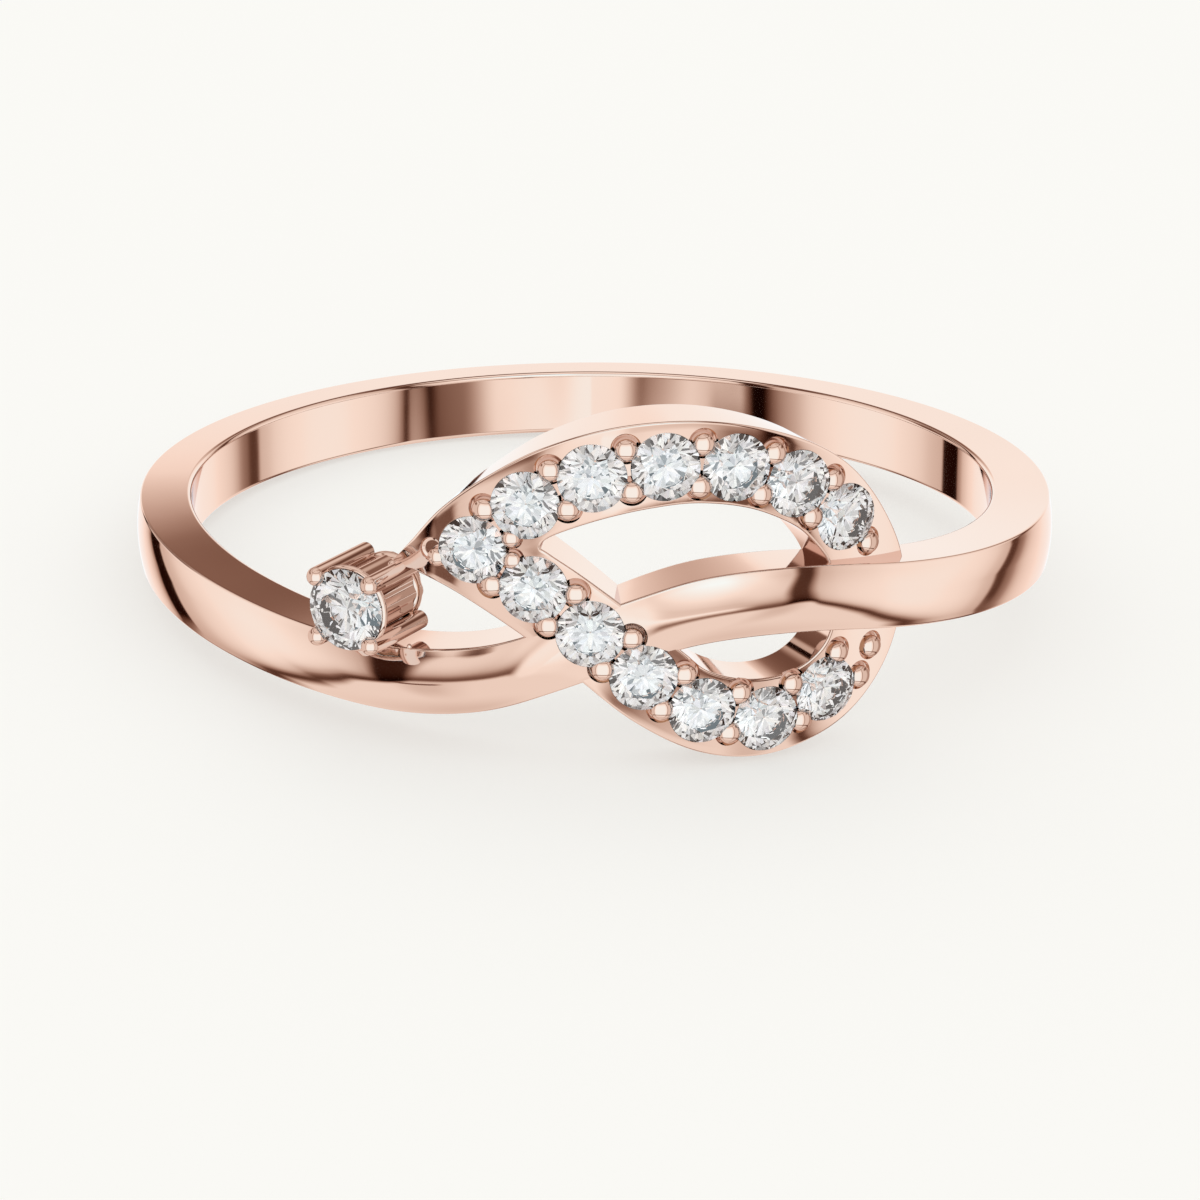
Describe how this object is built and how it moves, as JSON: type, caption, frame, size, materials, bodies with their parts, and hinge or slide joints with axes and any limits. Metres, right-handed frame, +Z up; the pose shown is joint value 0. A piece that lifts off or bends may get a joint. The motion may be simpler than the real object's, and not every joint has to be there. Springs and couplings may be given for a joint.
{
  "type": "knot ring",
  "caption": "Finger ring whose plain band crosses through a paved leaf-shaped loop like a knot, with a round stone in a four-prong setting beside it.",
  "frame": {"origin": "middle of the ring's outline on the surface that it lies on", "axes": "+Z up from that surface, -Y towards the front with the paved loop, +X to the side where the loop ends; the finger passes nearly along Z"},
  "size_m": [0.0188, 0.0188, 0.0068],
  "materials": {
    "rose_gold": "polished",
    "clear_stone": "polished"
  },
  "bodies": {
    "root": {"ring_metal": "rose_gold", "large_stone": "clear_stone"}
  },
  "joints": []
}
